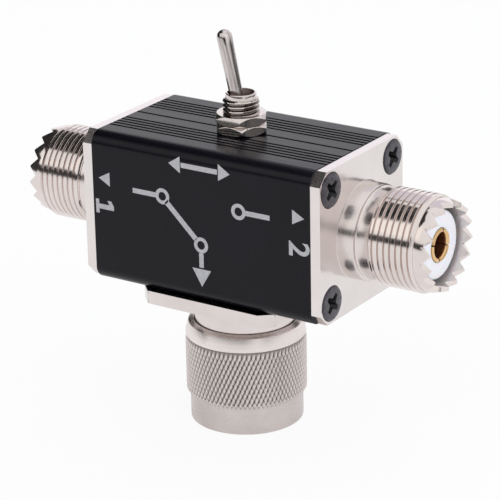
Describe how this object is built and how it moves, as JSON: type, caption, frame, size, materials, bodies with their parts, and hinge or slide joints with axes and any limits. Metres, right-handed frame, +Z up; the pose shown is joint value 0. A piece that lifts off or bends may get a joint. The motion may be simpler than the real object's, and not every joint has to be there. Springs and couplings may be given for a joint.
{
  "type": "coaxial antenna switch",
  "caption": "Two-way coaxial antenna switch: grooved black housing, toggle on top, a threaded UHF socket at each end and a UHF plug with a knurled coupling nut below.",
  "frame": {"origin": "centre of the coupling nut's rim, the lowest face", "axes": "+X from the antenna 1 socket to the antenna 2 socket, the printed front faces -Y, +Z up from the coupling nut to the toggle"},
  "size_m": [0.0772, 0.0256, 0.0662],
  "materials": {
    "black_anodised": "black anodised, satin, fine extrusion lines",
    "nickel_plate": "bright nickel plate over turned brass",
    "knurled_nickel": "nickel plate over diamond knurl",
    "bright_nickel": "bright nickel plate",
    "white_ptfe": "white, waxy",
    "gold_plate": "gold plate",
    "silver_plate": "silver plate",
    "black_screws": "black oxide, slightly glossy",
    "spring_steel": "plain, satin",
    "phenolic": "dark red moulded phenolic",
    "nylon": "natural nylon",
    "tinned_copper": "tinned"
  },
  "bodies": {
    "switch_body": {"housing_tube": "black_anodised", "antenna_1_socket_body": "nickel_plate", "antenna_2_socket_body": "nickel_plate", "antenna_1_insulator": "white_ptfe", "antenna_2_insulator": "white_ptfe", "antenna_1_contact": "gold_plate", "antenna_2_contact": "gold_plate", "antenna_1_screws": "black_screws", "antenna_2_screws": "black_screws", "plug_screws": "black_screws", "plug_body": "nickel_plate", "plug_insulator": "white_ptfe", "plug_pin": "silver_plate", "nut_snap_ring": "spring_steel", "switch_bushing": "bright_nickel", "switch_frame": "spring_steel", "switch_case": "phenolic", "terminal_common": "silver_plate", "terminal_antenna_1": "silver_plate", "terminal_antenna_2": "silver_plate", "lower_hex_nut": "bright_nickel", "upper_hex_nut": "bright_nickel", "wire_antenna_1": "tinned_copper", "wire_antenna_2": "tinned_copper", "wire_common": "tinned_copper"},
    "lever": {"toggle_lever": "bright_nickel", "lever_plunger": "nylon", "plunger_spring": "spring_steel"},
    "rocker": {"rocker_contact": "silver_plate"},
    "nut": {"coupling_nut": "knurled_nickel"}
  },
  "joints": [
    {"name": "lever_throw", "type": "hinge", "parent": "switch_body", "child": "lever", "pos_m": [0, 0, 0.0517], "axis": [0, 1, 0], "range_deg": [0, 25]},
    {"name": "rocker_tilt", "type": "hinge", "parent": "switch_body", "child": "rocker", "pos_m": [0, 0, 0.0409], "axis": [0, 1, 0], "range_deg": [-16, 0]},
    {"name": "nut_spin", "type": "hinge", "parent": "switch_body", "child": "nut", "pos_m": [0, 0, 0.0088], "axis": [0, 0, 1], "continuous": true}
  ],
  "couplings": [
    {"joint": "rocker_tilt", "follows": "lever_throw", "ratio": -0.64}
  ]
}
